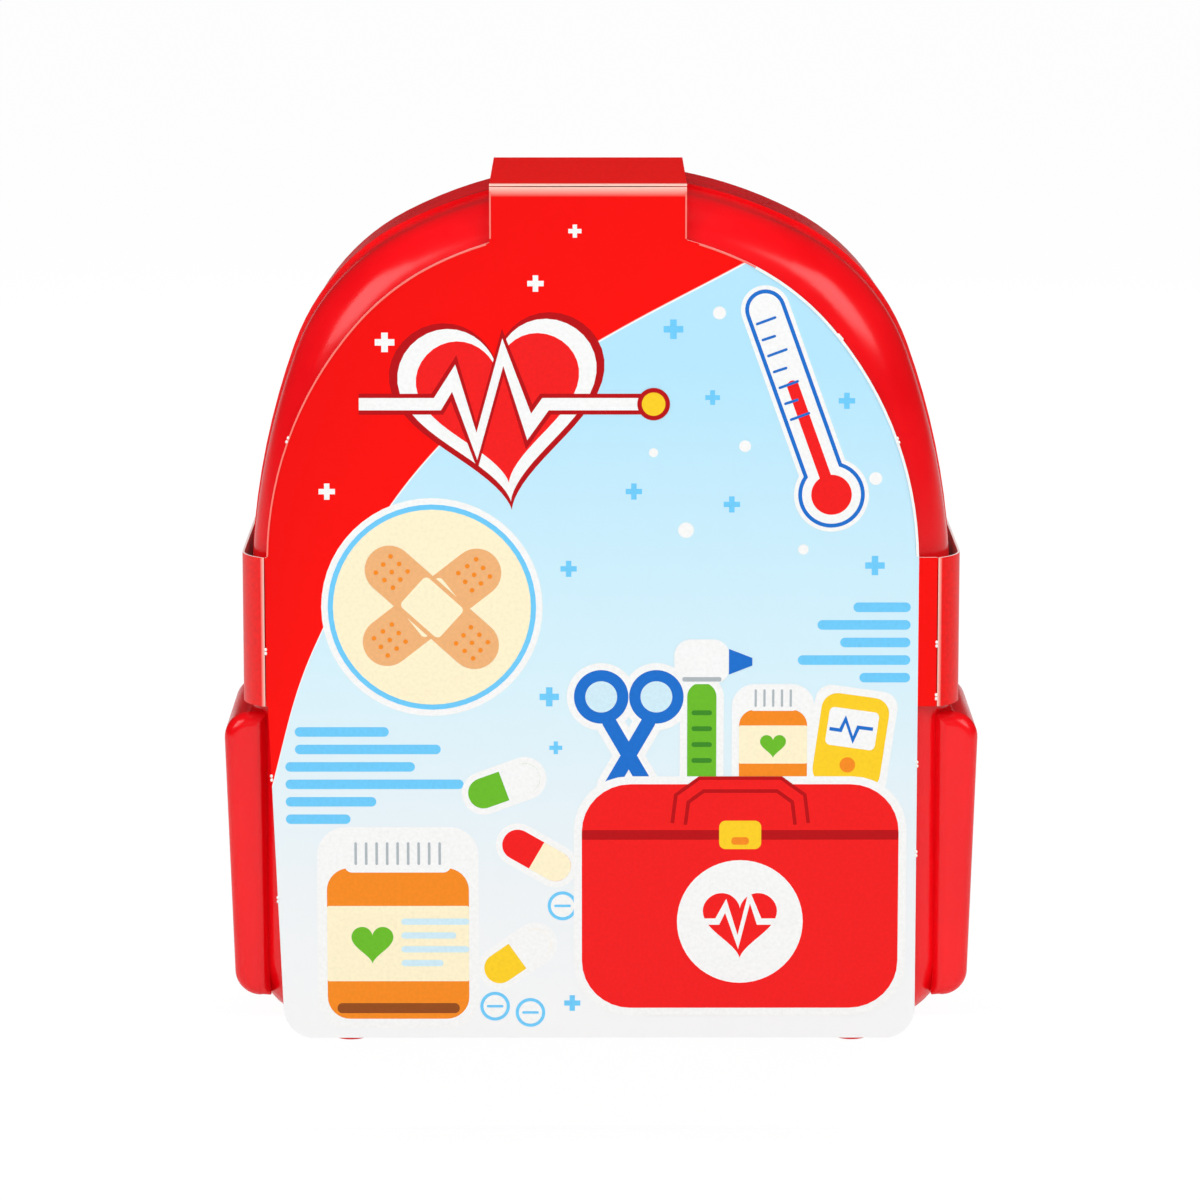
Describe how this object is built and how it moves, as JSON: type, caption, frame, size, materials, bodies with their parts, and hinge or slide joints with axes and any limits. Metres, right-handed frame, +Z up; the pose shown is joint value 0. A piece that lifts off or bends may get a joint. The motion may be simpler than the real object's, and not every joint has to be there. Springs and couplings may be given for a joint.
{
  "type": "toy doctor case",
  "caption": "Red backpack-shaped plastic toy doctor case in a printed card sleeve, with a hinged lid, a clasp, shoulder straps, a tray, a basket and toy tools inside.",
  "frame": {"origin": "on the floor under the centre of the whole object's box, as it stands closed", "axes": "+X to the right seen from the printed front, +Y from the front to the back, +Z up"},
  "size_m": [0.2332, 0.1311, 0.2703],
  "materials": {
    "red_plastic": "glossy moulded plastic",
    "white_plastic": "glossy moulded plastic",
    "steel": "plain bright steel",
    "webbing": "woven webbing",
    "card": "printed paperboard, satin varnish",
    "yellow_plastic": "glossy moulded plastic",
    "orange_plastic": "glossy moulded plastic",
    "green_plastic": "glossy moulded plastic",
    "blue_plastic": "glossy moulded plastic",
    "pale_blue_plastic": "glossy moulded plastic",
    "screen": "polished"
  },
  "bodies": {
    "case_back": {"back_shell": "red_plastic", "carry_handle": "red_plastic", "hinge_pin": "steel", "back_feet": "red_plastic", "tray": "white_plastic", "tray_screws": "steel", "strap_left": "webbing", "strap_right": "webbing", "strap_studs": "white_plastic", "syringe_barrel": "pale_blue_plastic", "scissors_fixed_arm": "blue_plastic", "scissors_rivet": "white_plastic", "otoscope_handle": "green_plastic", "otoscope_head": "white_plastic", "otoscope_cone": "blue_plastic", "monitor_body": "yellow_plastic", "monitor_screen": "screen"},
    "lid": {"lid_shell": "red_plastic", "lid_feet": "red_plastic", "latch_pin": "steel", "card_front": "card", "rail": "white_plastic", "basket": "white_plastic", "bottle": "orange_plastic", "tongs": "green_plastic"},
    "clasp": {"latch": "white_plastic"},
    "top_flap": {"card_top_flap": "card"},
    "left_flap": {"card_left_flap": "card"},
    "right_flap": {"card_right_flap": "card"},
    "plunger": {"syringe_plunger": "blue_plastic"},
    "scissors_arm": {"scissors_moving_arm": "blue_plastic"},
    "button": {"monitor_button": "red_plastic"},
    "cap": {"bottle_cap": "white_plastic"}
  },
  "joints": [
    {"name": "lid_hinge", "type": "hinge", "parent": "case_back", "child": "lid", "pos_m": [0, -0.02655, 0.0028], "axis": [1, 0, 0], "range_deg": [0, 90]},
    {"name": "clasp_lift", "type": "hinge", "parent": "lid", "child": "clasp", "pos_m": [0, -0.03456, 0.26025], "axis": [1, 0, 0], "range_deg": [0, 13]},
    {"name": "top_flap_fold", "type": "hinge", "parent": "lid", "child": "top_flap", "pos_m": [0, -0.06556, 0.2697], "axis": [1, 0, 0], "range_deg": [0, 100]},
    {"name": "right_flap_fold", "type": "hinge", "parent": "lid", "child": "right_flap", "pos_m": [0.1032, -0.06556, 0.128], "axis": [0, 0, -1], "range_deg": [0, 90]},
    {"name": "left_flap_fold", "type": "hinge", "parent": "lid", "child": "left_flap", "pos_m": [-0.1032, -0.06556, 0.128], "axis": [0, 0, 1], "range_deg": [0, 90]},
    {"name": "plunger_slide", "type": "slide", "parent": "case_back", "child": "plunger", "axis": [-1, 0, 0], "range_m": [0, 0.026]},
    {"name": "scissors_open", "type": "hinge", "parent": "case_back", "child": "scissors_arm", "pos_m": [-0.05, -0.00456, 0.14202], "axis": [0, 1, 0], "range_deg": [-22, 18]},
    {"name": "button_press", "type": "slide", "parent": "case_back", "child": "button", "axis": [0, 1, 0], "range_m": [0, 0.0015], "stiffness_N_per_m": 300},
    {"name": "cap_turn", "type": "hinge", "parent": "lid", "child": "cap", "pos_m": [-0.02, -0.04836, 0.1001], "axis": [0, 0, 1], "range_deg": [0, 180]}
  ]
}
